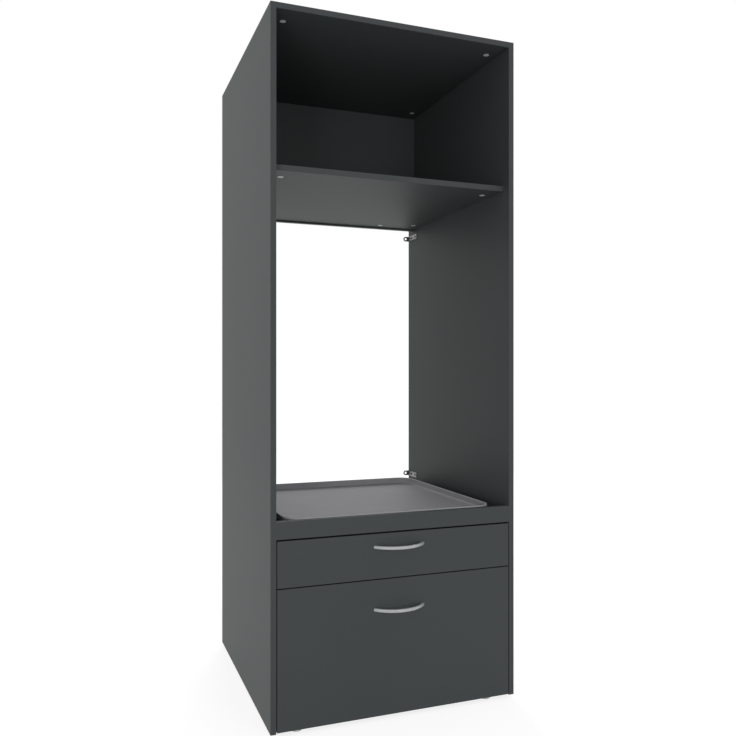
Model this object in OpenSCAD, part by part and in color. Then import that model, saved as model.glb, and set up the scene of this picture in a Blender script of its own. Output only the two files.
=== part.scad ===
// Tall cabinet that stands a washing machine on a raised shelf, over two drawers and under a compartment.
// The frame: Z is up from the floor, X runs to the right, and the front faces -Y.
// Inside the modules y is measured back from the front plane of the cabinet, and placed() moves it home.

/* [Cabinet] */
// Overall width over both side panels
cabinet_width = 700; // [680:5:780]
// Height of the side panels
side_height = 1840; // [1760:10:1960]
// Depth of the side panels
cabinet_depth = 705; // [695:5:760]
// Thickness of every coated chipboard panel
board = 15; // [14.5:0.5:18]
// Thickness of the glued edge bands
band = 0.8; // [0.5:0.1:1.5]
// How far the back boards stand in from the rear edge
back_recess = 34; // [20:1:45]
// How far the compartment shelf stands in from the front
shelf_setback = 29; // [10:1:60]
// How far the compartment's back board reaches below its shelf
back_drop = 5; // [0:1:10]

/* [Machine niche] */
// Height of the rail's top edge above the lower edge of the sides
base_height = 533; // [525:1:560]
// Clear height from the rail's top edge to the shelf above
niche_height = 892; // [860:1:920]
// Height of the front rail
rail_height = 45; // [38:1:50]
// How far the machine shelf lies below the rail's top edge
tray_recess = 20; // [16:1:24]

/* [Drip tray] */
// Width and depth over the rim
tray_size = 602; // [590:2:620]
// Radius of the corners seen from above
tray_corner = 50; // [35:1:70]
// Height of the tray
tray_height = 22.5; // [20:0.5:26]
// Wall thickness
tray_wall = 2.5; // [2:0.25:3]
// Width of the rolled rim over the wall
tray_rim = 5; // [4:0.5:7]
// Gap between the front rail and the tray
tray_gap = 3; // [1:0.5:20]
// How far the tray lies off the middle of the niche
tray_shift = -5; // [-10:1:10]

/* [Drawer fronts] */
// Height of the upper front
upper_front_height = 118.5; // [110:0.5:130]
// Gap beside each front
front_side_gap = 2.3; // [1.5:0.1:3.5]
// Gap between the two fronts
front_gap = 3; // [2:0.25:5]
// Gap between the rail and the upper front
rail_gap = 4.4; // [3:0.2:6]
// Gap under the lower front, measured from the lower edge of the sides
foot_gap = 2.6; // [1.6:0.2:5]

/* [Drawer boxes] */
// Thickness of the sides and the back of a drawer box
box_board = 12; // [11:0.5:13]
// Length of a drawer box behind its front
box_depth = 566; // [560:2:580]
// Height of the upper box
upper_box_height = 84; // [76:1:92]
// Height of the lower box
lower_box_height = 240; // [180:5:280]
// Height of the upper box above the lower edge of its front
upper_box_lift = 11; // [8:1:16]
// Height of the lower box above the lower edge of its front
lower_box_lift = 23; // [20:1:30]
// Thickness of the drawer bottoms
box_bottom = 4; // [3:0.5:6]
// Height of the bottom's groove above the lower edge of the box
groove_lift = 10; // [8:1:14]
// Depth of the groove
groove_depth = 6; // [4:0.5:7]

/* [Runners] */
// Length of the runners
runner_length = 550; // [500:10:550]
// Thickness of a runner between cabinet and drawer
runner_thickness = 12.7; // [12.7:0.1:13.4]
// Height of the outer member
runner_height = 45; // [44:0.5:48]
// Sheet thickness of the outer and the drawer member
member_sheet = 1.2; // [1.0:0.05:1.3]
// Sheet thickness of the middle member
middle_sheet = 1.0; // [0.8:0.05:1.1]
// Diameter of the balls
ball_d = 3.5; // [3.2:0.05:3.6]
// Running clearance between a ball and its races
ball_play = 0.08; // [0.05:0.01:0.1]
// Distance between a runner's two ball rows across its thickness
row_spacing = 3.2; // [3.1:0.05:3.3]
// Balls in each row
balls_per_row = 6; // [4:1:7]
// Spacing of the balls along a row
ball_pitch = 30; // [24:1:32]
// Sheet thickness of the ball cages
cage_sheet = 0.4; // [0.3:0.05:0.45]
// Height of a runner's centre line above the lower edge of its box
runner_rise = 42; // [34:1:46]
// Length of the black bumper at the rear of the outer member
bumper_length = 8; // [6:1:12]

/* [Handles] */
// Distance between the two screws of a handle
handle_pitch = 128; // [112:4:136]
// How far the bow's centre line reaches past each screw where it meets the front
handle_overhang = 4; // [3:0.5:6]
// Height of the bow's centre line over the front
handle_rise = 29.7; // [26:0.1:34]
// Height of the bow's section
handle_bar_height = 9.2; // [8.6:0.2:11]
// Thickness of the bow's section
handle_bar_depth = 7; // [6.6:0.1:8]
// Diameter of the feet under the bow's ends
handle_foot_d = 8.4; // [7.6:0.2:8.4]
// Distance of the upper handle from the top of its front
upper_handle_drop = 35; // [28:0.5:60]
// Distance of the lower handle from the top of its front
lower_handle_drop = 78.5; // [50:0.5:120]

/* [Fittings] */
// Diameter of the cam locks
cam_d = 15; // [14:0.5:16]
// Distance of a cam's centre from the joint
cam_reach = 34; // [30:1:38]
// Distance of the top panel's front cams from the front
top_cam_front = 69; // [55:1:90]
// Distance of the top panel's rear cams from the rear
top_cam_rear = 107; // [80:1:120]
// Distance of the other cams from the front edge of their board
cam_front = 64; // [50:1:80]
// Distance of the other cams from the rear edge of their board
cam_rear = 72; // [60:1:90]
// Distance of the back board's cams from the side panels' inner faces
back_cam_inset = 145; // [110:1:180]
// How far a cover cap reaches over its cam all round
cap_overlap = 0.5; // [0.3:0.1:1.5]
// Diameter of the wooden dowels
dowel_d = 8; // [6:0.5:8]
// Length of the wooden dowels
dowel_length = 30; // [28:1:34]
// Distance of a dowel from its cam
dowel_step = 48; // [32:1:64]

/* [Wall brackets] */
// Length of the leg on the side panel
bracket_length = 73; // [60:1:80]
// Height of the bracket
bracket_height = 17; // [15:0.5:20]
// Reach of the leg along the wall
bracket_reach = 21; // [18:0.5:24]
// Thickness of the steel
bracket_sheet = 2; // [1.5:0.25:2.5]
// Diameter of the hole for the wall screw
bracket_hole_d = 8.5; // [5:0.5:9.5]
// Length of the slots for the screws into the side panel
bracket_slot = 12; // [5:0.5:13]
// Height of the lower brackets' middle above the rail's top edge
lower_bracket_rise = 5; // [4:1:30]
// Drop of the upper brackets' middle below the compartment shelf
upper_bracket_drop = 27; // [20:1:60]

/* [Glides] */
// Diameter of the glides
glide_d = 29; // [24:1:34]
// Height of the glides under the side panels
glide_height = 10; // [6:1:14]
// Distance of a glide from the cabinet's outer side
glide_inset = 75; // [50:1:100]
// Distance of a glide from the front and the rear
glide_setback = 31; // [28:1:60]

/* [Hidden] */
$fn = 48;
eps = 0.01;

decor = "#474b4d";
zinc = "#b4b7b9";
capGrey = "#a8aaac";
silver = "#b9bcbe";
steel = "#c3c6c8";
beech = "#c9a878";
trayGrey = "#8b8c8f";
nylon = "#c9c9c6";
black = "#202123";

// Heights of the main boards, each the lower face of its board
inner_half = cabinet_width / 2 - board;
panel_foot = glide_height;
panel_head = panel_foot + side_height;
top_z = panel_head - board;
rail_top = panel_foot + base_height;
rail_bottom = rail_top - rail_height;
machine_shelf_z = rail_top - tray_recess - board;
shelf_z = rail_top + niche_height;
bottom_z = panel_foot;

// Depths, measured back from the front plane
back_y = cabinet_depth - back_recess - board;
back_rear_y = back_y + board;
shelf_depth = back_y - shelf_setback;
bottom_setback = board + 1.5;

// Hairline joint between two edge bands
band_joint = 0.1;

// Drawer fronts
upper_front_z = rail_bottom - rail_gap - upper_front_height;
lower_front_z = panel_foot + foot_gap;
lower_front_height = upper_front_z - front_gap - lower_front_z;
front_half = inner_half - front_side_gap;

// Drawer boxes
box_half = inner_half - runner_thickness;
box_inner_half = box_half - box_board;
box_rear_y = board + box_depth;
bottom_play = 0.3;

// Handle: an arc whose ends are cut flush with the front
handle_half_chord = handle_pitch / 2 + handle_overhang;
handle_radius = (pow(handle_half_chord, 2) + pow(handle_rise, 2)) / (2 * handle_rise);
handle_centre_y = handle_radius - handle_rise;
handle_half_angle = asin(handle_half_chord / handle_radius) + 4;
handle_reach = handle_rise + handle_bar_depth / 2;
handle_screw_d = 4;
handle_head_d = 8;
handle_head_height = 2.4;
handle_thread_depth = 5.5;

// The origin lies under the middle of the whole cabinet with its handles
front_y = (handle_reach - cabinet_depth) / 2;

// Cam fittings
cam_depth = 12.4;
cam_play = 0.1;
cam_recess_d = 6;
cam_recess_depth = 2;
cross_width = 1.6;
bolt_bore_d = 8;
bolt_thread_d = 5;
bolt_thread_length = 10.5;
bolt_play = 0.4;
bolt_collar_length = 3;
bolt_shank_d = 5.4;
bolt_neck_d = 4;
bolt_neck_length = 5;
bolt_head_d = 6.6;
bolt_head_back = 1.5;
cap_d = cam_d + 2 * cap_overlap;
cap_thickness = 0.5;
cap_spigot_d = 5;
cap_spigot_length = 1.6;
dowel_play = 0.1;
dowel_in_panel = 11.5;
dowel_in_board = dowel_length - dowel_in_panel;
rail_dowel_inset = 11;

// The drawer boxes' smaller cam fittings
box_cam_d = 12;
box_cam_depth = 9.5;
box_cam_reach = 24;
box_bolt_bore_d = 7;
box_dowel_d = 6;
box_dowel_length = 25;
box_dowel_in_front = 10;
box_screw_d = 3.5;
box_screw_head_d = 7;
box_screw_head_height = 2.2;
box_screw_length = 35;

// Runner geometry in its own plane: u runs from the cabinet side to the drawer, v up from the centre line
race_r = ball_d / 2 + ball_play;
outer_row_u = (runner_thickness - row_spacing) / 2;
inner_row_u = outer_row_u + row_spacing;
outer_row_v = runner_height / 2 - member_sheet - race_r;
row_distance = 2 * race_r + middle_sheet;
row_dv = sqrt(pow(row_distance, 2) - pow(row_spacing, 2));
inner_row_v = outer_row_v - row_dv;
s_bend = atan2(row_dv, row_spacing);
race_tip = 20;
race_root = 25;
member_bend = 2.2;
middle_web_u = outer_row_u - race_r - middle_sheet + 0.2;
middle_web_top = outer_row_v - (race_r + middle_sheet) * sin(race_root);
runner_start = board + 3;
middle_length = runner_length - bumper_length - 2;
cage_play = 0.25;
cage_length = balls_per_row * ball_pitch;
cage_pocket_play = 0.12;
lip_sheet = 0.45;
runner_screw_d = 3.5;
runner_screw_head_d = 7;
runner_screw_length = 13;
drawer_screw_length = 10;
runner_screw_places = [32, runner_length / 2 - 16, runner_length - 64];
access_hole_d = 9;
bumper_half = 9;
bumper_reach = 7.5;
bumper_peg_d = 3;

// Tray
tray_base_radius = 9;
tray_rim_drop = 2;

// Glides
nail_d = 3;
nail_length = 12;

// A drawer record: front height level, front height, box level, box height, handle height, and over the
// box's lower edge the heights of the front's cams, of the back's screws and of the front's dowels
upper_drawer = [
    upper_front_z, upper_front_height, upper_front_z + upper_box_lift, upper_box_height,
    upper_front_z + upper_front_height - upper_handle_drop,
    [upper_box_height * 0.6], [upper_box_height * 0.35, upper_box_height * 0.8],
    [upper_box_height * 0.27, upper_box_height * 0.88]
];
lower_drawer = [
    lower_front_z, lower_front_height, lower_front_z + lower_box_lift, lower_box_height,
    lower_front_z + lower_front_height - lower_handle_drop,
    [lower_box_height * 0.3, lower_box_height * 0.78],
    [lower_box_height * 0.15, lower_box_height * 0.5, lower_box_height * 0.85],
    [lower_box_height * 0.15, lower_box_height * 0.54, lower_box_height * 0.9]
];
function front_level(d) = d[0];
function front_height(d) = d[1];
function box_level(d) = d[2];
function box_height(d) = d[3];
function handle_level(d) = d[4];
function box_cams(d) = d[5];
function box_screws(d) = d[6];
function box_dowels(d) = d[7];
function runner_level(d) = box_level(d) + runner_rise;

// Cam rows of the boards between the sides: mid height, the two places along y, the face the cams open to
cam_rows = [
    [top_z + board / 2, [top_cam_front, cabinet_depth - top_cam_rear], -1],
    [shelf_z + board / 2, [shelf_setback + cam_front, back_y - cam_rear], -1],
    [machine_shelf_z + board / 2, [board + cam_front, back_rear_y - cam_rear], -1],
    [bottom_z + board / 2, [bottom_setback + cam_front, back_rear_y - cam_rear], 1]
];
function row_dowels(row) = [row[1][0] + dowel_step, row[1][1] - dowel_step];

// Dowels between the upright boards and the sides: height, place along y
compartment_back_z = shelf_z - back_drop;
compartment_back_height = top_z - compartment_back_z;
base_back_z = bottom_z + board;
base_back_height = machine_shelf_z - base_back_z;
upright_dowels = [
    [rail_bottom + rail_dowel_inset, board / 2], [rail_top - rail_dowel_inset, board / 2],
    [compartment_back_z + compartment_back_height * 0.25, back_y + board / 2],
    [compartment_back_z + compartment_back_height * 0.75, back_y + board / 2],
    [base_back_z + base_back_height * 0.25, back_y + board / 2],
    [base_back_z + base_back_height * 0.75, back_y + board / 2]
];
rail_shelf_dowels = [-220, 0, 220];
back_cam_x = inner_half - back_cam_inset;
bracket_levels = [rail_top + lower_bracket_rise, shelf_z - upper_bracket_drop];
bracket_screw_places = [bracket_length * 0.42, bracket_length * 0.84];
bracket_screw_d = 4;
bracket_screw_head_d = 7.6;
bracket_screw_head_height = 2.2;
bracket_screw_length = 15;
bracket_bore_depth = bracket_screw_length - bracket_sheet + 0.5;
bracket_slot_height = bracket_screw_d + 0.6;

// Placing

module placed() {
    translate([0, front_y, 0]) children();
}

module both_sides() {
    children();
    mirror([1, 0, 0]) children();
}

// A board given by its left, front and lower edges and its size
module slab(corner, size) {
    translate(corner) cube(size);
}

// A hole or pin that starts at the origin and runs towards -X, +X, +Y or -Y
module to_left(d, h) {
    rotate([0, -90, 0]) cylinder(d = d, h = h);
}

module to_right(d, h) {
    rotate([0, 90, 0]) cylinder(d = d, h = h);
}

module to_rear(d, h) {
    rotate([-90, 0, 0]) cylinder(d = d, h = h);
}

module to_front(d, h) {
    rotate([90, 0, 0]) cylinder(d = d, h = h);
}

// Places on the left joint plane, where the boards meet the inner face of the left panel

module at_cams() {
    for (row = cam_rows) for (y = row[1]) translate([-inner_half, y, row[0]]) children();
}

module at_side_dowels() {
    for (row = cam_rows) for (y = row_dowels(row)) translate([-inner_half, y, row[0]]) children();
    for (p = upright_dowels) translate([-inner_half, p[1], p[0]]) children();
}

module at_brackets() {
    for (z = bracket_levels) translate([-inner_half, cabinet_depth, z]) children();
}

module at_runner_screws() {
    for (d = [upper_drawer, lower_drawer]) for (s = runner_screw_places)
        translate([-inner_half, runner_start + s, runner_level(d)]) children();
}

// Side panels

module side_panel() {
    color(decor) difference() {
        slab([-cabinet_width / 2, band, panel_foot], [board, cabinet_depth - band, side_height]);
        at_cams() translate([eps, 0, 0]) to_left(bolt_thread_d + cam_play, bolt_thread_length + 0.5);
        at_side_dowels() translate([eps, 0, 0]) to_left(dowel_d + dowel_play, dowel_in_panel + 0.3);
        at_runner_screws() translate([eps, 0, 0]) to_left(runner_screw_d + 0.1, runner_screw_length);
        at_runner_screws() countersink(runner_screw_head_d + 0.1, runner_screw_d);
        at_brackets() for (s = bracket_screw_places)
            translate([eps, -s, 0]) to_left(bracket_screw_d + 0.1, bracket_bore_depth);
    }
}

// The tapered seat that a runner screw presses into the panel's face behind the member's web
module countersink(head_d, shank_d) {
    translate([member_sheet, 0, 0]) rotate([0, -90, 0])
        cylinder(d1 = head_d, d2 = shank_d, h = (head_d - shank_d) / 2);
}

module left_side_panel() {
    placed() side_panel();
}

module right_side_panel() {
    placed() mirror([1, 0, 0]) side_panel();
}

// Bores in the end of a board: one row's cam pockets, bolt bores and dowel holes
module row_bores(row) {
    z = row[0];
    face = row[2];
    both_sides() {
        for (y = row[1]) translate([-inner_half, y, z]) {
            translate([-eps, 0, 0]) to_right(bolt_bore_d, cam_reach);
            translate([cam_reach, 0, 0]) cam_pocket(face);
        }
        for (y = row_dowels(row)) translate([-inner_half - eps, y, z])
            to_right(dowel_d + dowel_play, dowel_in_board + 0.3);
    }
}

// Opens to the lower face for -1 and to the upper face for 1
module cam_pocket(face) {
    mirror([0, 0, face > 0 ? 1 : 0]) translate([0, 0, -board / 2 - eps])
        cylinder(d = cam_d + cam_play, h = cam_depth + 0.1);
}

// The pockets and bores of the two cams that hold the back board, in the shelf's rear edge
module back_cam_bores() {
    both_sides() translate([-back_cam_x, back_y, shelf_z + board / 2]) {
        translate([0, eps, 0]) to_front(bolt_bore_d, cam_reach);
        translate([0, -cam_reach, 0]) cam_pocket(-1);
    }
}

module top_panel() {
    placed() color(decor) difference() {
        slab([-inner_half, band, top_z], [2 * inner_half, cabinet_depth - band, board]);
        row_bores(cam_rows[0]);
    }
}

module compartment_shelf() {
    placed() color(decor) difference() {
        slab([-inner_half, shelf_setback + band, shelf_z], [2 * inner_half, shelf_depth - band, board]);
        row_bores(cam_rows[1]);
        back_cam_bores();
    }
}

// The dowel holes in the two ends of an upright board at one side plane
module upright_bores() {
    both_sides() for (p = upright_dowels) translate([-inner_half - eps, p[1], p[0]])
        to_right(dowel_d + dowel_play, dowel_in_board + 0.3);
}

module compartment_back() {
    placed() color(decor) difference() {
        slab([-inner_half, back_y, compartment_back_z + band],
            [2 * inner_half, board, compartment_back_height - band]);
        upright_bores();
        both_sides() translate([-back_cam_x, back_y - eps, shelf_z + board / 2])
            to_rear(bolt_thread_d + cam_play, bolt_thread_length + 0.5);
    }
}

module machine_shelf() {
    placed() color(decor) difference() {
        slab([-inner_half, board, machine_shelf_z], [2 * inner_half, back_rear_y - board, board]);
        row_bores(cam_rows[2]);
        for (x = rail_shelf_dowels) translate([x, board - eps, machine_shelf_z + board / 2])
            to_rear(dowel_d + dowel_play, dowel_in_board + 0.3);
    }
}

module front_rail() {
    placed() color(decor) difference() {
        slab([-inner_half, 0, rail_bottom + band], [2 * inner_half, board, rail_height - 2 * band]);
        upright_bores();
        for (x = rail_shelf_dowels) translate([x, board + eps, machine_shelf_z + board / 2])
            to_front(dowel_d + dowel_play, dowel_in_panel + 0.3);
    }
}

module bottom_panel() {
    placed() color(decor) difference() {
        slab([-inner_half, bottom_setback + band, bottom_z],
            [2 * inner_half, back_rear_y - bottom_setback - band, board]);
        row_bores(cam_rows[3]);
        at_glides() translate([0, 0, -eps]) cylinder(d = nail_d + 0.1, h = nail_length + 0.3);
    }
}

module base_back() {
    placed() color(decor) difference() {
        slab([-inner_half, back_y, base_back_z], [2 * inner_half, board, base_back_height]);
        upright_bores();
    }
}

// Upright strips on the front edges of lying boards, and lying strips on the edges of upright ones
module cabinet_edge_bands() {
    strip = 2 * (inner_half - band_joint);
    placed() color(decor) {
        both_sides() slab([-cabinet_width / 2, 0, panel_foot], [board, band, side_height]);
        for (p = [[0, top_z], [shelf_setback, shelf_z], [bottom_setback, bottom_z]])
            slab([-strip / 2, p[0], p[1]], [strip, band, board]);
        for (p = [[0, rail_bottom], [0, rail_top - band], [back_y, compartment_back_z]])
            slab([-strip / 2, p[0], p[1]], [strip, board, band]);
    }
}

// Cam lock with a cross recess in its open face and the chamber that grips the bolt's head.
// The open face looks down, and the bolt comes from -X.
module cam_lock(d, depth, thickness, bore_d) {
    translate([0, 0, -thickness / 2]) difference() {
        cylinder(d = d - cam_play, h = depth);
        translate([0, 0, thickness / 2]) rotate([0, -90, 0]) cylinder(d = bore_d, h = d);
        translate([0, 0, thickness / 2]) sphere(d = bore_d);
        translate([0, 0, -eps]) cylinder(d = cam_recess_d, h = cam_recess_depth);
        for (a = [45, 135]) rotate([0, 0, a])
            translate([-d * 0.36, -cross_width / 2, -eps])
                cube([d * 0.72, cross_width, cam_recess_depth * 0.8]);
    }
}

module cam_locks() {
    placed() color(zinc) {
        both_sides() for (row = cam_rows) for (y = row[1])
            translate([-inner_half + cam_reach, y, row[0]]) mirror([0, 0, row[2] > 0 ? 1 : 0])
                cam_lock(cam_d, cam_depth, board, bolt_bore_d);
        both_sides() translate([-back_cam_x, back_y - cam_reach, shelf_z + board / 2])
            rotate([0, 0, -90]) cam_lock(cam_d, cam_depth, board, bolt_bore_d);
    }
}

// Bolt that screws into the side at the origin and reaches its head into the cam, along +X
module cam_bolt() {
    head_place = cam_reach - bolt_head_back;
    to_left(bolt_thread_d, bolt_thread_length);
    to_right(bolt_bore_d - bolt_play, bolt_collar_length);
    to_right(bolt_shank_d, head_place - bolt_head_d / 2 - bolt_neck_length);
    to_right(bolt_neck_d, head_place);
    translate([head_place, 0, 0]) sphere(d = bolt_head_d);
}

module cam_bolts() {
    placed() color(steel) {
        both_sides() at_cams() cam_bolt();
        both_sides() translate([-back_cam_x, back_y, shelf_z + board / 2]) rotate([0, 0, -90]) cam_bolt();
    }
}

// Cap that clips into the cam's recess and covers it, drawn for a face that looks down
module cam_cap() {
    rotate([180, 0, 0]) {
        rotate_extrude() {
            square([cap_d / 2 - cap_thickness, cap_thickness]);
            intersection() {
                translate([cap_d / 2 - cap_thickness, 0]) circle(r = cap_thickness);
                square([cap_d, cap_thickness]);
            }
        }
        translate([0, 0, -cap_spigot_length]) cylinder(d = cap_spigot_d, h = cap_spigot_length + eps);
    }
}

module cam_caps() {
    placed() color(capGrey) {
        both_sides() for (row = cam_rows) for (y = row[1])
            translate([-inner_half + cam_reach, y, row[0]]) mirror([0, 0, row[2] > 0 ? 1 : 0])
                translate([0, 0, -board / 2]) cam_cap();
        both_sides() translate([-back_cam_x, back_y - cam_reach, shelf_z]) cam_cap();
    }
}

module wooden_dowels() {
    placed() color(beech) {
        both_sides() at_side_dowels() translate([-dowel_in_panel, 0, 0]) to_right(dowel_d, dowel_length);
        for (x = rail_shelf_dowels) translate([x, board - dowel_in_panel, machine_shelf_z + board / 2])
            to_rear(dowel_d, dowel_length);
    }
}

// Slot along the leg with its screw in the middle
module bracket_slot_hole() {
    flat = bracket_slot - bracket_slot_height;
    depth = bracket_sheet + 2 * eps;
    slab([0, -flat / 2, -bracket_slot_height / 2], [depth, flat, bracket_slot_height]);
    for (y = [-flat / 2, flat / 2]) translate([0, y, 0]) to_right(bracket_slot_height, depth);
}

// Angle bracket: one leg on the side panel, one round-ended leg along the wall
module wall_bracket() {
    leg_centre = bracket_reach - bracket_height / 2;
    difference() {
        union() {
            translate([0, -bracket_length, -bracket_height / 2])
                cube([bracket_sheet, bracket_length, bracket_height]);
            translate([0, -bracket_sheet, -bracket_height / 2])
                cube([leg_centre, bracket_sheet, bracket_height]);
            translate([leg_centre, -bracket_sheet, 0]) to_rear(bracket_height, bracket_sheet);
        }
        translate([leg_centre, -bracket_sheet - eps, 0]) to_rear(bracket_hole_d, bracket_sheet + 2 * eps);
        for (s = bracket_screw_places) translate([-eps, -s, 0]) bracket_slot_hole();
    }
}

module wall_brackets() {
    placed() color(steel) both_sides() at_brackets() wall_bracket();
}

// Screw that enters at the origin towards -X, its rounded head on a face at x = seat
module pan_screw(seat, d, length, head_d, head_height) {
    translate([seat, 0, 0]) {
        to_left(d, length);
        rotate([0, 90, 0]) difference() {
            intersection() {
                cylinder(d = head_d, h = head_height);
                translate([0, 0, head_height - head_d * 0.72]) sphere(r = head_d * 0.72);
            }
            for (a = [0, 90]) rotate([0, 0, a]) translate([-head_d * 0.26, -0.5, head_height - 1.2])
                cube([head_d * 0.52, 1, 2]);
        }
    }
}

module bracket_screws() {
    placed() color(steel) both_sides() at_brackets() for (s = bracket_screw_places) translate([0, -s, 0])
        pan_screw(bracket_sheet, bracket_screw_d, bracket_screw_length,
            bracket_screw_head_d, bracket_screw_head_height);
}

module at_glides() {
    for (x = [-1, 1]) for (y = [glide_setback, cabinet_depth - back_recess - glide_setback])
        translate([x * (cabinet_width / 2 - glide_inset), y, panel_foot]) children();
}

// Plastic disc with its nail, drawn under z = 0
module glide() {
    edge = 1.5;
    rotate_extrude() {
        translate([0, -glide_height]) square([glide_d / 2 - edge, glide_height]);
        translate([0, -glide_height + edge]) square([glide_d / 2, glide_height - edge]);
        translate([glide_d / 2 - edge, -glide_height + edge]) circle(r = edge);
    }
    cylinder(d = nail_d, h = nail_length - 2);
    translate([0, 0, nail_length - 2]) cylinder(d1 = nail_d, d2 = 1, h = 2);
}

module floor_glides() {
    placed() color(nylon) at_glides() glide();
}

// Runner sections. A race is part of a ring round a row of balls, from one angle to another.
module race(sheet, from, to) {
    reach = 3 * (race_r + sheet);
    intersection() {
        difference() {
            circle(r = race_r + sheet);
            circle(r = race_r);
        }
        polygon([[0, 0], for (i = [0:4]) let (a = from + (to - from) * i / 4) reach * [cos(a), sin(a)]]);
    }
}

// Quarter of a bent sheet corner
module bend(outer_r, sheet, from) {
    intersection() {
        difference() {
            circle(r = outer_r);
            circle(r = outer_r - sheet);
        }
        rotate(from) square(outer_r + 1);
    }
}

module up_and_down() {
    children();
    mirror([0, 1]) children();
}

module cabinet_member_section() {
    half = runner_height / 2;
    translate([0, -half + member_bend]) square([member_sheet, 2 * (half - member_bend)]);
    up_and_down() {
        translate([member_bend, half - member_bend]) bend(member_bend, member_sheet, 90);
        translate([member_bend, half - member_sheet]) square([outer_row_u - member_bend, member_sheet]);
        translate([outer_row_u, outer_row_v]) race(member_sheet, race_tip, 90);
    }
}

// The two races of a side meet where the bend turns, and the first laps the second by a hair
module middle_member_section() {
    translate([middle_web_u, -middle_web_top]) square([middle_sheet, 2 * middle_web_top]);
    up_and_down() {
        translate([outer_row_u, outer_row_v]) race(middle_sheet, 180 + race_root, 360 - s_bend + eps);
        translate([inner_row_u, inner_row_v]) race(middle_sheet, race_root, 180 - s_bend);
    }
}

module drawer_member_section() {
    top = inner_row_v - race_r;
    translate([runner_thickness - member_sheet, -top + member_bend])
        square([member_sheet, 2 * (top - member_bend)]);
    up_and_down() {
        translate([runner_thickness - member_bend, top - member_bend]) bend(member_bend, member_sheet, 0);
        translate([inner_row_u, top - member_sheet])
            square([runner_thickness - member_bend - inner_row_u, member_sheet]);
        translate([inner_row_u, inner_row_v]) race(member_sheet, 180 + race_tip, 270);
    }
}

// Sections stand up from the left inner face and run back from the start of the runner
module along_runner(d, start, length) {
    translate([-inner_half, runner_start + start + length, runner_level(d)])
        rotate([90, 0, 0]) linear_extrude(length) children();
}

module on_runner(d, s) {
    translate([-inner_half, runner_start + s, runner_level(d)]) children();
}

module cabinet_member(d) {
    difference() {
        along_runner(d, 0, runner_length) cabinet_member_section();
        for (s = runner_screw_places) on_runner(d, s) countersink(runner_screw_head_d + 0.1, runner_screw_d);
        for (s = runner_screw_places) on_runner(d, s + 24) translate([-eps, 0, 0])
            to_right(4.5, member_sheet + 2 * eps);
        on_runner(d, runner_length - bumper_length / 2) translate([-eps, 0, 0])
            to_right(bumper_peg_d + 0.1, member_sheet + 2 * eps);
    }
}

module runner_cabinet_members() {
    placed() color(steel) both_sides() for (d = [upper_drawer, lower_drawer]) cabinet_member(d);
}

// Countersunk screw with its head flush in a member's web, from the origin towards -X
module flush_screw(length) {
    cone = (runner_screw_head_d - runner_screw_d) / 2;
    difference() {
        union() {
            translate([member_sheet - 0.05, 0, 0]) rotate([0, -90, 0])
                cylinder(d1 = runner_screw_head_d, d2 = runner_screw_d, h = cone);
            translate([member_sheet - cone, 0, 0]) to_left(runner_screw_d, length - cone - member_sheet);
        }
        for (a = [0, 90]) translate([member_sheet - 1, 0, 0]) rotate([a, 0, 0])
            translate([0, -1.7, -0.45]) cube([2, 3.4, 0.9]);
    }
}

module runner_cabinet_screws() {
    placed() color(zinc) both_sides() at_runner_screws() flush_screw(runner_screw_length);
}

module runner_bumpers() {
    placed() color(black) both_sides() for (d = [upper_drawer, lower_drawer]) {
        on_runner(d, runner_length - bumper_length) translate([member_sheet, 0, -bumper_half])
            cube([bumper_reach, bumper_length, 2 * bumper_half]);
        on_runner(d, runner_length - bumper_length / 2) to_right(bumper_peg_d, member_sheet + eps);
    }
}

// Holes in the middle member's web let a screwdriver reach the cabinet member's screws
module middle_member(d) {
    difference() {
        along_runner(d, 0, middle_length) middle_member_section();
        for (s = runner_screw_places) on_runner(d, s) translate([middle_web_u - 1, 0, 0])
            to_right(access_hole_d, middle_sheet + 2);
    }
}

module middle_members(d) {
    placed() color(steel) both_sides() middle_member(d);
}

module upper_runner_middle_members() {
    middle_members(upper_drawer);
}

module lower_runner_middle_members() {
    middle_members(lower_drawer);
}

// Ball cages are thin channels: a web beside the middle member and a lip through each row of balls
module cage(d, row_u, row_v, web_u, lip_end, lip_low) {
    start = runner_length / 2 - cage_length / 2;
    top = row_v + lip_low + lip_sheet;
    difference() {
        along_runner(d, start, cage_length) {
            translate([web_u, -top]) square([cage_sheet, 2 * top]);
            up_and_down() translate([web_u, top - lip_sheet]) square([lip_end - web_u, lip_sheet]);
        }
        at_balls(d, row_u, row_v) cylinder(r = ball_d / 2 + cage_pocket_play, h = 4, center = true);
        for (s = [-1, 1]) on_runner(d, runner_length / 2 + s * cage_length / 4)
            translate([web_u - 1, -cage_length / 6, -row_v * 0.45]) cube([3, cage_length / 3, row_v * 0.9]);
    }
}

module at_balls(d, row_u, row_v) {
    for (i = [0:balls_per_row - 1]) for (v = [-row_v, row_v])
        on_runner(d, runner_length / 2 + (i - (balls_per_row - 1) / 2) * ball_pitch)
            translate([row_u, 0, v]) children();
}

module outer_cages(d) {
    placed() color(steel) both_sides()
        cage(d, outer_row_u, outer_row_v, member_sheet + cage_play, outer_row_u + race_r + 1.1, -0.15);
}

module inner_cages(d) {
    placed() color(nylon) both_sides() cage(d, inner_row_u, inner_row_v,
        middle_web_u + middle_sheet + 0.5, inner_row_u + race_r + 1.1, -lip_sheet + 0.12);
}

module outer_balls(d) {
    placed() color(zinc) both_sides() at_balls(d, outer_row_u, outer_row_v) sphere(d = ball_d);
}

module inner_balls(d) {
    placed() color(zinc) both_sides() at_balls(d, inner_row_u, inner_row_v) sphere(d = ball_d);
}

module upper_outer_cages() {
    outer_cages(upper_drawer);
}

module upper_outer_balls() {
    outer_balls(upper_drawer);
}

module upper_inner_cages() {
    inner_cages(upper_drawer);
}

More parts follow.
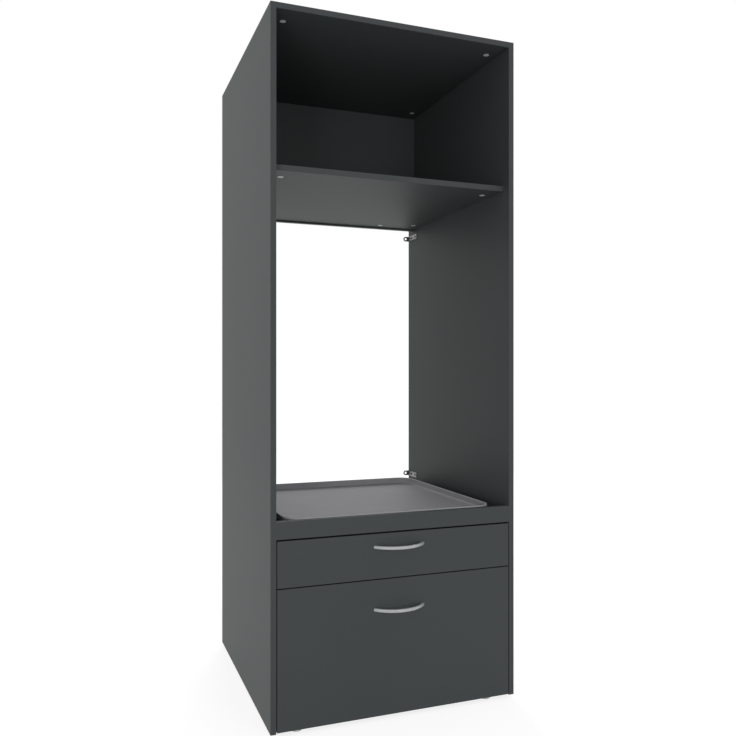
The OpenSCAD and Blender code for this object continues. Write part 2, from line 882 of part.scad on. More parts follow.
module upper_inner_balls() {
    inner_balls(upper_drawer);
}

module lower_outer_cages() {
    outer_cages(lower_drawer);
}

module lower_outer_balls() {
    outer_balls(lower_drawer);
}

module lower_inner_cages() {
    inner_cages(lower_drawer);
}

module lower_inner_balls() {
    inner_balls(lower_drawer);
}

// The same screw turned round: from the member's inner face into the drawer's side
module at_drawer_screws(d) {
    for (s = runner_screw_places) on_runner(d, s + 12) translate([runner_thickness, 0, 0])
        mirror([1, 0, 0]) children();
}

module drawer_members(d) {
    placed() color(steel) both_sides() difference() {
        along_runner(d, 0, runner_length) drawer_member_section();
        at_drawer_screws(d) countersink(runner_screw_head_d + 0.1, runner_screw_d);
    }
}

module drawer_screws(d) {
    placed() color(zinc) both_sides() at_drawer_screws(d) flush_screw(drawer_screw_length);
}

module upper_runner_drawer_members() {
    drawer_members(upper_drawer);
}

module lower_runner_drawer_members() {
    drawer_members(lower_drawer);
}

module upper_runner_drawer_screws() {
    drawer_screws(upper_drawer);
}

module lower_runner_drawer_screws() {
    drawer_screws(lower_drawer);
}

// Drawer fronts

module at_handle_screws(d) {
    for (x = [-1, 1]) translate([x * handle_pitch / 2, 0, handle_level(d)]) children();
}

// The groove that holds the drawer's bottom, cut where it meets the box's walls
module bottom_groove(d) {
    slab([-box_inner_half - groove_depth, board - groove_depth, box_level(d) + groove_lift],
        [2 * (box_inner_half + groove_depth), box_depth - box_board + 2 * groove_depth, box_bottom + 0.2]);
}

// Places on the plane between the front and the left side, at heights over the box's lower edge
module at_box_front(d, heights) {
    for (h = heights) translate([-box_inner_half - box_board / 2, board, box_level(d) + h]) children();
}

module at_box_cams(d) {
    at_box_front(d, box_cams(d)) children();
}

// Dowels and their holes start in the front
module at_box_dowels(d) {
    at_box_front(d, box_dowels(d)) translate([0, -box_dowel_in_front, 0]) children();
}

module box_dowel_bores(d) {
    at_box_dowels(d) translate([0, -0.3, 0]) to_rear(box_dowel_d + dowel_play, box_dowel_length + 0.6);
}

module drawer_front(d) {
    placed() color(decor) difference() {
        slab([-front_half + band, 0, front_level(d) + band],
            [2 * (front_half - band), board, front_height(d) - 2 * band]);
        at_handle_screws(d) translate([0, -eps, 0]) to_rear(handle_screw_d + 0.5, board + 2 * eps);
        bottom_groove(d);
        both_sides() at_box_cams(d) translate([0, eps, 0])
            to_front(bolt_thread_d + cam_play, bolt_thread_length + 0.5);
        both_sides() box_dowel_bores(d);
    }
}

// Two long strips above and below, and two short ones between them
module drawer_edge_band(d) {
    strip = front_height(d) - 2 * (band + band_joint);
    placed() color(decor) {
        for (z = [front_level(d), front_level(d) + front_height(d) - band])
            slab([-front_half, 0, z], [2 * front_half, board, band]);
        both_sides() slab([-front_half, 0, front_level(d) + band + band_joint], [band, board, strip]);
    }
}

module upper_drawer_front() {
    drawer_front(upper_drawer);
}

module lower_drawer_front() {
    drawer_front(lower_drawer);
}

module upper_drawer_edge_band() {
    drawer_edge_band(upper_drawer);
}

module lower_drawer_edge_band() {
    drawer_edge_band(lower_drawer);
}

// Drawer boxes

module at_box_screws(d) {
    for (h = box_screws(d)) translate([-box_half, box_rear_y - box_board / 2, box_level(d) + h]) children();
}

module drawer_side(d) {
    difference() {
        slab([-box_half, board, box_level(d)], [box_board, box_depth, box_height(d)]);
        bottom_groove(d);
        at_box_cams(d) {
            translate([0, -eps, 0]) to_rear(box_bolt_bore_d, box_cam_reach);
            translate([box_board / 2 + eps, box_cam_reach, 0])
                to_left(box_cam_d + cam_play, box_cam_depth + 0.1);
        }
        box_dowel_bores(d);
        at_drawer_screws(d) translate([eps, 0, 0]) to_left(runner_screw_d + 0.1, drawer_screw_length);
        at_drawer_screws(d) countersink(runner_screw_head_d + 0.1, runner_screw_d);
        at_box_screws(d) {
            translate([-eps, 0, 0]) to_right(box_screw_d + 0.1, box_board + 2 * eps);
            translate([-eps, 0, 0]) to_right(box_screw_head_d + 0.1, box_screw_head_height + 0.1);
        }
    }
}

module upper_drawer_left_side() {
    placed() color(decor) drawer_side(upper_drawer);
}

module upper_drawer_right_side() {
    placed() color(decor) mirror([1, 0, 0]) drawer_side(upper_drawer);
}

module lower_drawer_left_side() {
    placed() color(decor) drawer_side(lower_drawer);
}

module lower_drawer_right_side() {
    placed() color(decor) mirror([1, 0, 0]) drawer_side(lower_drawer);
}

module drawer_back(d) {
    placed() color(decor) difference() {
        slab([-box_inner_half, box_rear_y - box_board, box_level(d)],
            [2 * box_inner_half, box_board, box_height(d)]);
        bottom_groove(d);
        both_sides() at_box_screws(d) translate([box_board - eps, 0, 0])
            to_right(box_screw_d + 0.1, box_screw_length - box_board + 0.3);
    }
}

module upper_drawer_back() {
    drawer_back(upper_drawer);
}

module lower_drawer_back() {
    drawer_back(lower_drawer);
}

module drawer_bottom(d) {
    placed() color(decor)
        slab([-box_inner_half - groove_depth + bottom_play, board - groove_depth + bottom_play,
                box_level(d) + groove_lift],
            [2 * (box_inner_half + groove_depth - bottom_play),
                box_depth - box_board + 2 * (groove_depth - bottom_play), box_bottom]);
}

module upper_drawer_bottom() {
    drawer_bottom(upper_drawer);
}

module lower_drawer_bottom() {
    drawer_bottom(lower_drawer);
}

module drawer_cams(d) {
    placed() color(zinc) both_sides() at_box_cams(d) translate([0, box_cam_reach, 0])
        rotate([0, -90, 0]) rotate([0, 0, 90])
            cam_lock(box_cam_d, box_cam_depth, box_board, box_bolt_bore_d);
}

module drawer_cam_bolts(d) {
    placed() color(steel) both_sides() at_box_cams(d) rotate([0, 0, 90]) small_cam_bolt();
}

module small_cam_bolt() {
    head_place = box_cam_reach - bolt_head_back;
    to_left(bolt_thread_d, bolt_thread_length);
    to_right(bolt_shank_d, head_place - bolt_neck_length);
    to_right(bolt_neck_d, head_place);
    translate([head_place, 0, 0]) sphere(d = box_bolt_bore_d - 1);
}

module drawer_dowels(d) {
    placed() color(beech) both_sides() at_box_dowels(d) to_rear(box_dowel_d, box_dowel_length);
}

module drawer_box_screws(d) {
    placed() color(zinc) both_sides() at_box_screws(d) difference() {
        union() {
            to_right(box_screw_d, box_screw_length);
            to_right(box_screw_head_d, box_screw_head_height);
        }
        for (a = [0, 90]) rotate([a, 0, 0]) translate([-eps, -1.7, -0.45]) cube([1.2, 3.4, 0.9]);
    }
}

module upper_drawer_cams() {
    drawer_cams(upper_drawer);
}

module lower_drawer_cams() {
    drawer_cams(lower_drawer);
}

module upper_drawer_cam_bolts() {
    drawer_cam_bolts(upper_drawer);
}

module lower_drawer_cam_bolts() {
    drawer_cam_bolts(lower_drawer);
}

module upper_drawer_dowels() {
    drawer_dowels(upper_drawer);
}

module lower_drawer_dowels() {
    drawer_dowels(lower_drawer);
}

module upper_drawer_box_screws() {
    drawer_box_screws(upper_drawer);
}

module lower_drawer_box_screws() {
    drawer_box_screws(lower_drawer);
}

// Handles

// Round-edged section of the bow, its centre at the origin
module bow_section() {
    r = handle_bar_depth / 2;
    straight = handle_bar_height / 2 - r;
    translate([-r, -straight]) square([2 * r, 2 * straight]);
    for (s = [-1, 1]) translate([0, s * straight]) circle(r = r);
}

module bow() {
    translate([0, handle_centre_y, 0]) rotate([0, 0, -90 - handle_half_angle])
        rotate_extrude(angle = 2 * handle_half_angle, $fn = 180)
            translate([handle_radius, 0]) bow_section();
}

// Foot round a screw, which ends inside the bow
module handle_foot() {
    to_front(handle_foot_d, sqrt(pow(handle_radius, 2) - pow(handle_pitch / 2, 2)) - handle_centre_y);
}

module handle(d) {
    placed() color(silver) translate([0, 0, handle_level(d)]) difference() {
        union() {
            bow();
            for (x = [-1, 1]) translate([x * handle_pitch / 2, 0, 0]) handle_foot();
        }
        slab([-handle_pitch, 0, -handle_bar_height],
            [2 * handle_pitch, handle_radius, 2 * handle_bar_height]);
        for (x = [-1, 1]) translate([x * handle_pitch / 2, eps, 0])
            to_front(handle_screw_d, handle_thread_depth + eps);
    }
}

module handle_screws(d) {
    length = handle_thread_depth - 0.5;
    placed() color(zinc) at_handle_screws(d) {
        translate([0, -length, 0]) to_rear(handle_screw_d - 0.1, board + length);
        translate([0, board, 0]) rotate([0, 0, 90])
            pan_screw(0, handle_screw_d - 0.1, 1, handle_head_d, handle_head_height);
    }
}

module upper_drawer_handle() {
    handle(upper_drawer);
}

module lower_drawer_handle() {
    handle(lower_drawer);
}

module upper_drawer_handle_screws() {
    handle_screws(upper_drawer);
}

module lower_drawer_handle_screws() {
    handle_screws(lower_drawer);
}

// Drip tray: the wall's section is swept round the rim, with x inwards from the rim's outer edge
module tray_section() {
    outer = tray_base_radius;
    bead = tray_rim / 2;
    crown = tray_height - bead;
    translate([tray_rim - tray_wall, 0]) {
        translate([outer, outer]) intersection() {
            difference() {
                circle(r = outer);
                circle(r = outer - tray_wall);
            }
            translate([-outer, -outer]) square(outer);
        }
        translate([0, outer]) square([tray_wall, crown - tray_rim_drop - outer]);
    }
    translate([0, crown - tray_rim_drop]) square([tray_rim, tray_rim_drop]);
    translate([bead, crown]) intersection() {
        circle(r = bead);
        translate([-bead, 0]) square([tray_rim, bead]);
    }
}

module drip_tray() {
    half = tray_size / 2;
    run = tray_size - 2 * tray_corner;
    floor_inset = tray_rim - tray_wall + tray_base_radius;
    placed() color(trayGrey) translate([tray_shift, board + tray_gap + half, machine_shelf_z + board]) {
        for (a = [0:90:270]) rotate([0, 0, a]) {
            translate([-half, run / 2, 0]) rotate([90, 0, 0]) linear_extrude(run) tray_section();
            translate([-half + tray_corner, -half + tray_corner, 0]) rotate([0, 0, 180])
                rotate_extrude(angle = 90, $fn = 96)
                    translate([tray_corner, 0]) mirror([1, 0]) tray_section();
        }
        tray_floor(half - floor_inset, tray_corner - floor_inset);
    }
}

// Flat floor with the corners' own radius
module tray_floor(half, corner) {
    linear_extrude(tray_wall) {
        square([2 * half, 2 * (half - corner)], center = true);
        square([2 * (half - corner), 2 * half], center = true);
        for (x = [-1, 1]) for (y = [-1, 1]) translate([x * (half - corner), y * (half - corner)])
            circle(r = corner, $fn = 96);
    }
}

left_side_panel();
right_side_panel();
top_panel();
compartment_shelf();
compartment_back();
machine_shelf();
front_rail();
bottom_panel();
base_back();
cabinet_edge_bands();
cam_locks();
cam_bolts();
cam_caps();
wooden_dowels();
wall_brackets();
bracket_screws();
floor_glides();
runner_cabinet_members();
runner_cabinet_screws();
runner_bumpers();
upper_runner_middle_members();
upper_outer_cages();
upper_outer_balls();
upper_inner_cages();
upper_inner_balls();
lower_runner_middle_members();
lower_outer_cages();
lower_outer_balls();
lower_inner_cages();
lower_inner_balls();
upper_drawer_front();
upper_drawer_edge_band();
upper_drawer_left_side();
upper_drawer_right_side();
upper_drawer_back();
upper_drawer_bottom();
upper_drawer_cams();
upper_drawer_cam_bolts();
upper_drawer_dowels();
upper_drawer_box_screws();
upper_drawer_handle();
upper_drawer_handle_screws();
upper_runner_drawer_members();
upper_runner_drawer_screws();
lower_drawer_front();
lower_drawer_edge_band();
lower_drawer_left_side();
lower_drawer_right_side();
lower_drawer_back();
lower_drawer_bottom();
lower_drawer_cams();
lower_drawer_cam_bolts();
lower_drawer_dowels();
lower_drawer_box_screws();
lower_drawer_handle();
lower_drawer_handle_screws();
lower_runner_drawer_members();
lower_runner_drawer_screws();
drip_tray();
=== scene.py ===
import math

import bpy
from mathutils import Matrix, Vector

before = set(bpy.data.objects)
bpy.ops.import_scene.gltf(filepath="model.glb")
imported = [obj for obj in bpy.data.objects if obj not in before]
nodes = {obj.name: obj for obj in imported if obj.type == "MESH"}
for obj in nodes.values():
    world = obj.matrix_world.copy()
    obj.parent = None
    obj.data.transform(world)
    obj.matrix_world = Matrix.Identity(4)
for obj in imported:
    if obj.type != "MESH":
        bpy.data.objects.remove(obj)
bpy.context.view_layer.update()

print("stage 1: frame loaded,", len(nodes), "nodes")


# Small helpers for node trees. Colours are given in linear light, lengths in metres.
# A Mix node repeats its sockets' names for each kind of value, so its sockets go by number.
mixFactor = 0
numberMix = {"first": 2, "second": 3, "out": 0}
colourMix = {"first": 6, "second": 7, "out": 2}
noiseRange = (0.3, 0.7)  # where nearly all of a noise's values lie


def rgba(colour):
    return (colour[0], colour[1], colour[2], 1.0)


def shade(colour, factor):
    return tuple(min(1.0, c * factor) for c in colour)


def addNode(tree, kind, place, **settings):
    node = tree.nodes.new(kind)
    node.location = place
    for name, value in settings.items():
        setattr(node, name, value)
    return node


def setInputs(node, **values):
    for name, value in values.items():
        node.inputs[name.replace("_", " ")].default_value = value


def connect(tree, start, startSocket, end, endSocket):
    tree.links.new(start.outputs[startSocket], end.inputs[endSocket])


def addMath(tree, operation, place, number=None):
    node = addNode(tree, "ShaderNodeMath", place, operation=operation)
    if number is not None:
        node.inputs[1].default_value = number
    return node


def newMaterial(name):
    material = bpy.data.materials.new(name)
    material.use_nodes = True
    tree = material.node_tree
    tree.nodes.clear()
    output = addNode(tree, "ShaderNodeOutputMaterial", (900, 0))
    shader = addNode(tree, "ShaderNodeBsdfPrincipled", (600, 0))
    connect(tree, shader, "BSDF", output, "Surface")
    return material, tree, shader


def objectPlaces(tree, stretch=(1, 1, 1)):
    coordinates = addNode(tree, "ShaderNodeTexCoord", (-1300, 0))
    mapping = addNode(tree, "ShaderNodeMapping", (-1100, 0))
    setInputs(mapping, Scale=stretch)
    connect(tree, coordinates, "Object", mapping, "Vector")
    return mapping


def noise(tree, places, place, scale, detail, roughness=0.5):
    texture = addNode(tree, "ShaderNodeTexNoise", place)
    setInputs(texture, Scale=scale, Detail=detail, Roughness=roughness)
    connect(tree, places, "Vector", texture, "Vector")
    return texture


def spread(tree, source, socket, low, high, place):
    mapped = addNode(tree, "ShaderNodeMapRange", place)
    setInputs(mapped, From_Min=noiseRange[0], From_Max=noiseRange[1], To_Min=low, To_Max=high)
    connect(tree, source, socket, mapped, "Value")
    return mapped


def blendTones(tree, source, socket, dark, light):
    factor = spread(tree, source, socket, 0, 1, (-600, 300))
    mix = addNode(tree, "ShaderNodeMix", (-400, 300), data_type="RGBA")
    mix.inputs[colourMix["first"]].default_value = rgba(dark)
    mix.inputs[colourMix["second"]].default_value = rgba(light)
    connect(tree, factor, "Result", mix, mixFactor)
    return mix


def addBump(tree, shader, heights, socket, strength, distance):
    bump = addNode(tree, "ShaderNodeBump", (300, -350))
    setInputs(bump, Strength=strength, Distance=distance)
    connect(tree, heights, socket, bump, "Height")
    connect(tree, bump, "Normal", shader, "Normal")


def dress(names, material):
    for name in names:
        node = nodes[name]
        node.data.materials.clear()
        node.data.materials.append(material)


# Coated chipboard: a fine pore on the faces, bare chips where a board was only sawn or drilled
boardFinish = {
    "colour": (0.0408, 0.0464, 0.0474),
    "tint": 0.10,                  # how far the colour wanders from fleck to fleck
    "cloudScale": 3,
    "cloudShare": 0.3,             # share of the broad clouds against the fine pore
    "roughness": (0.49, 0.57),
    "refraction": 1.30,
    "poreScale": 900,
    "poreDepth": 0.00007,
    "faceLimit": 0.7,              # a face is coated if it looks this far along the thin axis
    "chipColours": ((0.30, 0.19, 0.10), (0.52, 0.37, 0.22), (0.20, 0.12, 0.065)),
    "chipMiddle": 0.45,            # where the middle chip colour stands between the others
    "chipScale": 420,
    "chipDepth": 0.00025,
    "chipRoughness": 0.85,
    "bump": 0.6,
}


def coatedFace(tree, cloud, pore):
    share = boardFinish["cloudShare"]
    cloudPart = addMath(tree, "MULTIPLY", (-850, 300), share)
    connect(tree, cloud, "Fac", cloudPart, 0)
    fleck = addMath(tree, "MULTIPLY_ADD", (-750, 150), 1 - share)
    connect(tree, pore, "Fac", fleck, 0)
    connect(tree, cloudPart, "Value", fleck, 2)
    tint = boardFinish["tint"]
    return blendTones(tree, fleck, "Value", shade(boardFinish["colour"], 1 - tint),
                      shade(boardFinish["colour"], 1 + tint))


def sawnChips(tree, places):
    chips = addNode(tree, "ShaderNodeTexVoronoi", (-850, -350))
    setInputs(chips, Scale=boardFinish["chipScale"], Randomness=1.0)
    connect(tree, places, "Vector", chips, "Vector")
    tones = addNode(tree, "ShaderNodeValToRGB", (-600, -350))
    first, middle, last = boardFinish["chipColours"]
    ramp = tones.color_ramp
    ramp.elements[0].color = rgba(first)
    ramp.elements[1].color = rgba(last)
    ramp.elements.new(boardFinish["chipMiddle"]).color = rgba(middle)
    connect(tree, chips, "Color", tones, "Fac")
    return chips, tones


# A face's own direction tells coating from core
def coatedShare(tree, thinAxis, wrappedTop):
    direction = addNode(tree, "ShaderNodeTexCoord", (-850, 650))
    parts = addNode(tree, "ShaderNodeSeparateXYZ", (-650, 650))
    connect(tree, direction, "Normal", parts, "Vector")
    size = addMath(tree, "ABSOLUTE", (-450, 650))
    connect(tree, parts, thinAxis, size, 0)
    coated = addMath(tree, "GREATER_THAN", (-250, 650), boardFinish["faceLimit"])
    connect(tree, size, "Value", coated, 0)
    if not wrappedTop:
        return coated
    upward = addMath(tree, "GREATER_THAN", (-250, 850), boardFinish["faceLimit"])
    connect(tree, parts, "Z", upward, 0)
    either = addMath(tree, "MAXIMUM", (-50, 750))
    connect(tree, coated, "Value", either, 0)
    connect(tree, upward, "Value", either, 1)
    return either


def boardMaterial(name, thinAxis, wrappedTop=False):
    material, tree, shader = newMaterial(name)
    places = objectPlaces(tree)
    cloud = noise(tree, places, (-1050, 300), boardFinish["cloudScale"], detail=2)
    pore = noise(tree, places, (-1050, 0), boardFinish["poreScale"], detail=3, roughness=0.6)
    face = coatedFace(tree, cloud, pore)
    chips, tones = sawnChips(tree, places)
    coated = coatedShare(tree, thinAxis, wrappedTop)

    colour = addNode(tree, "ShaderNodeMix", (100, 300), data_type="RGBA")
    connect(tree, coated, "Value", colour, mixFactor)
    connect(tree, tones, "Color", colour, colourMix["first"])
    connect(tree, face, colourMix["out"], colour, colourMix["second"])
    connect(tree, colour, colourMix["out"], shader, "Base Color")

    sheen = spread(tree, pore, "Fac", *boardFinish["roughness"], (-650, 0))
    rough = addNode(tree, "ShaderNodeMix", (100, 0), data_type="FLOAT")
    rough.inputs[numberMix["first"]].default_value = boardFinish["chipRoughness"]
    connect(tree, coated, "Value", rough, mixFactor)
    connect(tree, sheen, "Result", rough, numberMix["second"])
    connect(tree, rough, numberMix["out"], shader, "Roughness")
    setInputs(shader, IOR=boardFinish["refraction"])

    poreShare = boardFinish["poreDepth"] / boardFinish["chipDepth"]
    poreHeight = addMath(tree, "MULTIPLY", (-400, -100), poreShare)
    connect(tree, pore, "Fac", poreHeight, 0)
    height = addNode(tree, "ShaderNodeMix", (100, -250), data_type="FLOAT")
    connect(tree, coated, "Value", height, mixFactor)
    connect(tree, chips, "Distance", height, numberMix["first"])
    connect(tree, poreHeight, "Value", height, numberMix["second"])
    addBump(tree, shader, height, numberMix["out"], boardFinish["bump"], boardFinish["chipDepth"])
    return material


dress(["left_side_panel", "right_side_panel"],
      boardMaterial("boardUprightSide", "X", wrappedTop=True))
dress(["top_panel", "compartment_shelf", "machine_shelf", "bottom_panel"],
      boardMaterial("boardLevel", "Z"))
dress(["compartment_back", "front_rail", "base_back", "upper_drawer_front", "lower_drawer_front"],
      boardMaterial("boardUprightFront", "Y"))
boxSides = boardMaterial("boxBoardSide", "X", wrappedTop=True)
boxBacks = boardMaterial("boxBoardBack", "Y", wrappedTop=True)
boxBottoms = boardMaterial("boxBoardBottom", "Z")
for drawer in ("upper", "lower"):
    dress([f"{drawer}_drawer_left_side", f"{drawer}_drawer_right_side"], boxSides)
    dress([f"{drawer}_drawer_back"], boxBacks)
    dress([f"{drawer}_drawer_bottom"], boxBottoms)
print("stage 2: boards dressed")


# One recipe serves plastics and metals: faint clouds in the colour, a fine grain in gloss and bump
def grainedMaterial(name, facts, look):
    material, tree, shader = newMaterial(name)
    places = objectPlaces(tree, facts.get("stretch", (1, 1, 1)))
    cloud = noise(tree, places, (-850, 300), look["cloudScale"], detail=look["cloudDetail"])
    darker, lighter = look["tones"]
    colour = blendTones(tree, cloud, "Fac", shade(facts["colour"], darker), shade(facts["colour"], lighter))
    connect(tree, colour, colourMix["out"], shader, "Base Color")
    grain = noise(tree, places, (-850, 0), facts["grain"], detail=3, roughness=0.55)
    rough = spread(tree, grain, "Fac", *facts["roughness"], (-650, 0))
    connect(tree, rough, "Result", shader, "Roughness")
    addBump(tree, shader, grain, "Fac", look["bump"], facts["depth"])
    return material, shader


# Plastics: edge bands, caps, glides, bumpers, cages and the tray
plasticLook = {"cloudScale": 12, "cloudDetail": 2, "tones": (0.97, 1.03), "bump": 0.5}
plastics = {
    "edgeBand": {"colour": (0.0415, 0.0455, 0.0465), "roughness": (0.48, 0.56), "refraction": 1.30,
                 "grain": 700, "depth": 0.00002},
    "coverCap": {"colour": (0.535, 0.550, 0.555), "roughness": (0.30, 0.38), "refraction": 1.45,
                 "grain": 900, "depth": 0.00002},
    "glidePlastic": {"colour": (0.50, 0.50, 0.48), "roughness": (0.40, 0.50), "refraction": 1.45,
                     "grain": 600, "depth": 0.00003},
    "bumperRubber": {"colour": (0.012, 0.012, 0.013), "roughness": (0.70, 0.85), "refraction": 1.5,
                     "grain": 500, "depth": 0.00005},
    "cageNylon": {"colour": (0.60, 0.60, 0.57), "roughness": (0.35, 0.45), "refraction": 1.5,
                  "grain": 800, "depth": 0.00001},
    "trayPlastic": {"colour": (0.325, 0.323, 0.338), "roughness": (0.52, 0.60), "refraction": 1.38,
                    "grain": 450, "depth": 0.00005},
}


def plasticMaterial(name):
    material, shader = grainedMaterial(name, plastics[name], plasticLook)
    setInputs(shader, IOR=plastics[name]["refraction"])
    return material


dress(["cabinet_edge_bands", "upper_drawer_edge_band", "lower_drawer_edge_band"],
      plasticMaterial("edgeBand"))
dress(["cam_caps"], plasticMaterial("coverCap"))
dress(["floor_glides"], plasticMaterial("glidePlastic"))
dress(["runner_bumpers"], plasticMaterial("bumperRubber"))
dress(["upper_inner_cages", "lower_inner_cages"], plasticMaterial("cageNylon"))
dress(["drip_tray"], plasticMaterial("trayPlastic"))
print("stage 3: plastics dressed")


# Metals: a stretch draws the grain out along the way in which the sheet was rolled
metalLook = {"cloudScale": 40, "cloudDetail": 3, "tones": (0.93, 1.05), "bump": 0.4}
metals = {
    "castZinc": {"colour": (0.42, 0.43, 0.44), "metallic": 1.0, "roughness": (0.38, 0.55),
                 "grain": 500, "depth": 0.00005},
    "platedSteel": {"colour": (0.58, 0.59, 0.60), "metallic": 1.0, "roughness": (0.22, 0.38),
                    "grain": 260, "depth": 0.00001},
    "bracketSteel": {"colour": (0.265, 0.268, 0.268), "metallic": 1.0, "roughness": (0.34, 0.50),
                     "grain": 340, "depth": 0.00002},
    "darkScrew": {"colour": (0.085, 0.085, 0.088), "metallic": 0.8, "roughness": (0.34, 0.46),
                  "grain": 400, "depth": 0.00001},
    "runnerSteel": {"colour": (0.48, 0.49, 0.50), "metallic": 1.0, "roughness": (0.26, 0.40),
                    "stretch": (1, 0.02, 1), "grain": 900, "depth": 0.00001},
    "ballSteel": {"colour": (0.72, 0.72, 0.73), "metallic": 1.0, "roughness": (0.06, 0.12),
                  "grain": 300, "depth": 0.000002},
    "satinSilver": {"colour": (0.398, 0.414, 0.420), "metallic": 0.6, "roughness": (0.42, 0.50),
                    "grain": 1200, "depth": 0.00001},
}


def metalMaterial(name):
    material, shader = grainedMaterial(name, metals[name], metalLook)
    setInputs(shader, Metallic=metals[name]["metallic"])
    return material


plated = metalMaterial("platedSteel")
dress(["cam_bolts", "runner_cabinet_screws"], plated)
dress(["wall_brackets"], metalMaterial("bracketSteel"))
dress(["bracket_screws"], metalMaterial("darkScrew"))
zinc = metalMaterial("castZinc")
dress(["cam_locks"], zinc)
rolled = metalMaterial("runnerSteel")
dress(["runner_cabinet_members"], rolled)
polished = metalMaterial("ballSteel")
silver = metalMaterial("satinSilver")
for drawer in ("upper", "lower"):
    dress([f"{drawer}_drawer_{piece}" for piece in ("cam_bolts", "box_screws", "handle_screws")],
          plated)
    dress([f"{drawer}_runner_drawer_screws"], plated)
    dress([f"{drawer}_drawer_cams"], zinc)
    dress([f"{drawer}_runner_middle_members", f"{drawer}_runner_drawer_members", f"{drawer}_outer_cages"],
          rolled)
    dress([f"{drawer}_outer_balls", f"{drawer}_inner_balls"], polished)
    dress([f"{drawer}_drawer_handle"], silver)
print("stage 4: metals dressed")


# Beech dowels, with fibres drawn out along Z
beech = {
    "light": (0.56, 0.38, 0.21),
    "dark": (0.43, 0.27, 0.14),
    "roughness": 0.6,
    "stretch": (0.15, 0.15, 1),
    "fibreScale": 900,
    "fibreDepth": 0.0001,
    "bump": 0.4,
}


def beechMaterial():
    material, tree, shader = newMaterial("beechDowel")
    places = objectPlaces(tree, beech["stretch"])
    fibre = noise(tree, places, (-850, 300), beech["fibreScale"], detail=3)
    colour = blendTones(tree, fibre, "Fac", beech["dark"], beech["light"])
    connect(tree, colour, colourMix["out"], shader, "Base Color")
    setInputs(shader, Roughness=beech["roughness"])
    addBump(tree, shader, fibre, "Fac", beech["bump"], beech["fibreDepth"])
    return material


dress(["wooden_dowels", "upper_drawer_dowels", "lower_drawer_dowels"], beechMaterial())
print("stage 5: dowels dressed")


# The camera of the photograph: level, turned to the right of straight on
cameraFacts = {
    "place": (-0.7889, -2.2009, 0.9228),
    "turn": 20.56,                 # degrees from +Y towards +X
    "sensorWidth": 36,             # millimetres
    "focalPixels": 759.5,
    "framePixels": 736,
    "horizonRow": 371,
}


def makeCamera():
    frameSize = cameraFacts["framePixels"]
    data = bpy.data.cameras.new("photoCamera")
    data.sensor_width = cameraFacts["sensorWidth"]
    data.lens = cameraFacts["focalPixels"] * data.sensor_width / frameSize
    data.shift_y = (cameraFacts["horizonRow"] - frameSize / 2) / frameSize
    camera = bpy.data.objects.new("photoCamera", data)
    camera.location = cameraFacts["place"]
    camera.rotation_euler = (math.radians(90), 0, math.radians(-cameraFacts["turn"]))
    bpy.context.scene.collection.objects.link(camera)
    bpy.context.scene.camera = camera


makeCamera()
print("stage 6: camera placed")


# Studio: a white surround, a pale floor that keeps the shadow, and soft lamps
studio = {
    "surround": 0.62,
    "backdrop": 1.0,               # the surround as the camera and reflections see it
    "floorSize": 14,
    "floorColour": (0.90, 0.90, 0.90),
    "floorGlow": 0.80,
    "floorShare": 0.32,            # how strongly the seen floor takes shadow
}


# 1 for rays from the camera, off gloss and through glass, 0 for the light on the object
def seesBackground(tree, place):
    path = addNode(tree, "ShaderNodeLightPath", place)
    direct = addMath(tree, "MAXIMUM", (place[0] + 200, place[1]))
    connect(tree, path, "Is Camera Ray", direct, 0)
    connect(tree, path, "Is Glossy Ray", direct, 1)
    seen = addMath(tree, "MAXIMUM", (place[0] + 400, place[1]))
    connect(tree, direct, "Value", seen, 0)
    connect(tree, path, "Is Transmission Ray", seen, 1)
    return seen


def makeWorld():
    world = bpy.data.worlds.new("whiteStudio")
    bpy.context.scene.world = world
    world.use_nodes = True
    tree = world.node_tree
    tree.nodes.clear()
    output = addNode(tree, "ShaderNodeOutputWorld", (800, 0))
    mix = addNode(tree, "ShaderNodeMixShader", (600, 0))
    light = addNode(tree, "ShaderNodeBackground", (300, 100))
    setInputs(light, Color=(1, 1, 1, 1), Strength=studio["surround"])
    shown = addNode(tree, "ShaderNodeBackground", (300, -100))
    setInputs(shown, Color=(1, 1, 1, 1), Strength=studio["backdrop"])
    connect(tree, seesBackground(tree, (-300, 300)), "Value", mix, 0)
    connect(tree, light, "Background", mix, 1)
    connect(tree, shown, "Background", mix, 2)
    connect(tree, mix, "Shader", output, "Surface")


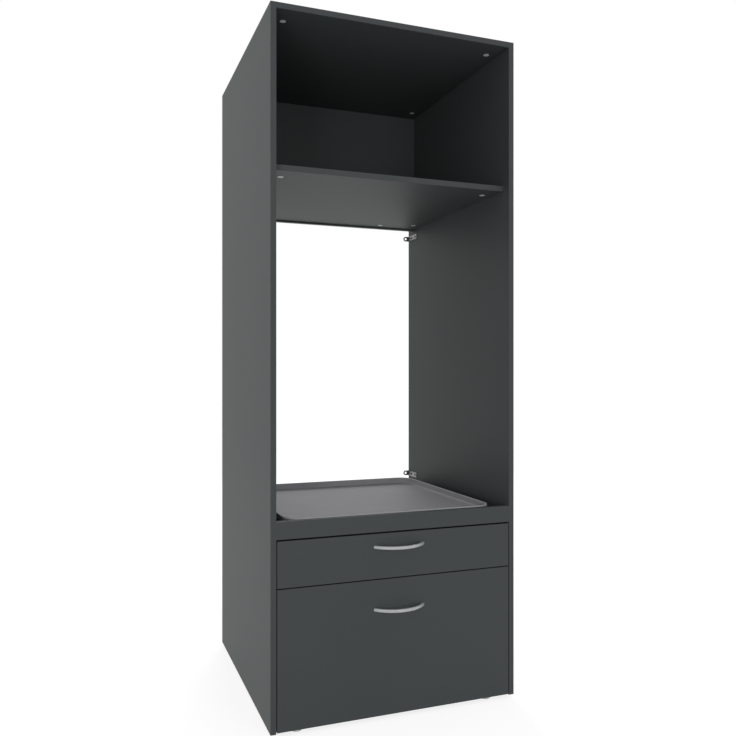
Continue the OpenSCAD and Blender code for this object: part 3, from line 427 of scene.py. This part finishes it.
def floorMaterial():
    material = bpy.data.materials.new("paleFloor")
    material.use_nodes = True
    tree = material.node_tree
    tree.nodes.clear()
    output = addNode(tree, "ShaderNodeOutputMaterial", (900, 0))
    mix = addNode(tree, "ShaderNodeMixShader", (700, 0))
    bounce = addNode(tree, "ShaderNodeBsdfDiffuse", (400, 200))
    setInputs(bounce, Color=rgba(studio["floorColour"]))
    shadowed = addNode(tree, "ShaderNodeBsdfDiffuse", (200, -100))
    setInputs(shadowed, Color=rgba((studio["floorShare"],) * 3))
    glow = addNode(tree, "ShaderNodeEmission", (200, -300))
    setInputs(glow, Strength=studio["floorGlow"])
    shown = addNode(tree, "ShaderNodeAddShader", (400, -200))
    connect(tree, shadowed, "BSDF", shown, 0)
    connect(tree, glow, "Emission", shown, 1)
    connect(tree, seesBackground(tree, (-300, 400)), "Value", mix, 0)
    connect(tree, bounce, "BSDF", mix, 1)
    connect(tree, shown, "Shader", mix, 2)
    connect(tree, mix, "Shader", output, "Surface")
    return material


def makeFloor():
    half = studio["floorSize"] / 2
    corners = [(-half, -half, 0), (half, -half, 0), (half, half, 0), (-half, half, 0)]
    mesh = bpy.data.meshes.new("studioFloor")
    mesh.from_pydata(corners, [], [(0, 1, 2, 3)])
    mesh.materials.append(floorMaterial())
    floor = bpy.data.objects.new("studioFloor", mesh)
    bpy.context.scene.collection.objects.link(floor)


lamps = {
    "frontFill": {"place": (0.9, -4.6, 0.9), "aim": (0, 0, 1.1), "size": 2.5, "power": 45},
    "leftFill": {"place": (-2.7, -4.2, 0.75), "aim": (0, 0, 1.2), "size": 1.4, "power": 66},
    "rearFill": {"place": (0.7, 3.8, 2.1), "aim": (0, 0, 0.8), "size": 1.4, "power": 66},
}


def makeLamps():
    for name, facts in lamps.items():
        data = bpy.data.lights.new(name, "AREA")
        data.shape = "SQUARE"
        data.size = facts["size"]
        data.energy = facts["power"]
        lamp = bpy.data.objects.new(name, data)
        lamp.location = facts["place"]
        aim = Vector(facts["aim"]) - Vector(facts["place"])
        lamp.rotation_euler = aim.to_track_quat("-Z", "Y").to_euler()
        lamp.visible_glossy = False
        lamp.visible_camera = False
        bpy.context.scene.collection.objects.link(lamp)


makeWorld()
makeFloor()
makeLamps()
bpy.context.scene.view_settings.view_transform = "Standard"
print("stage 7: studio set")
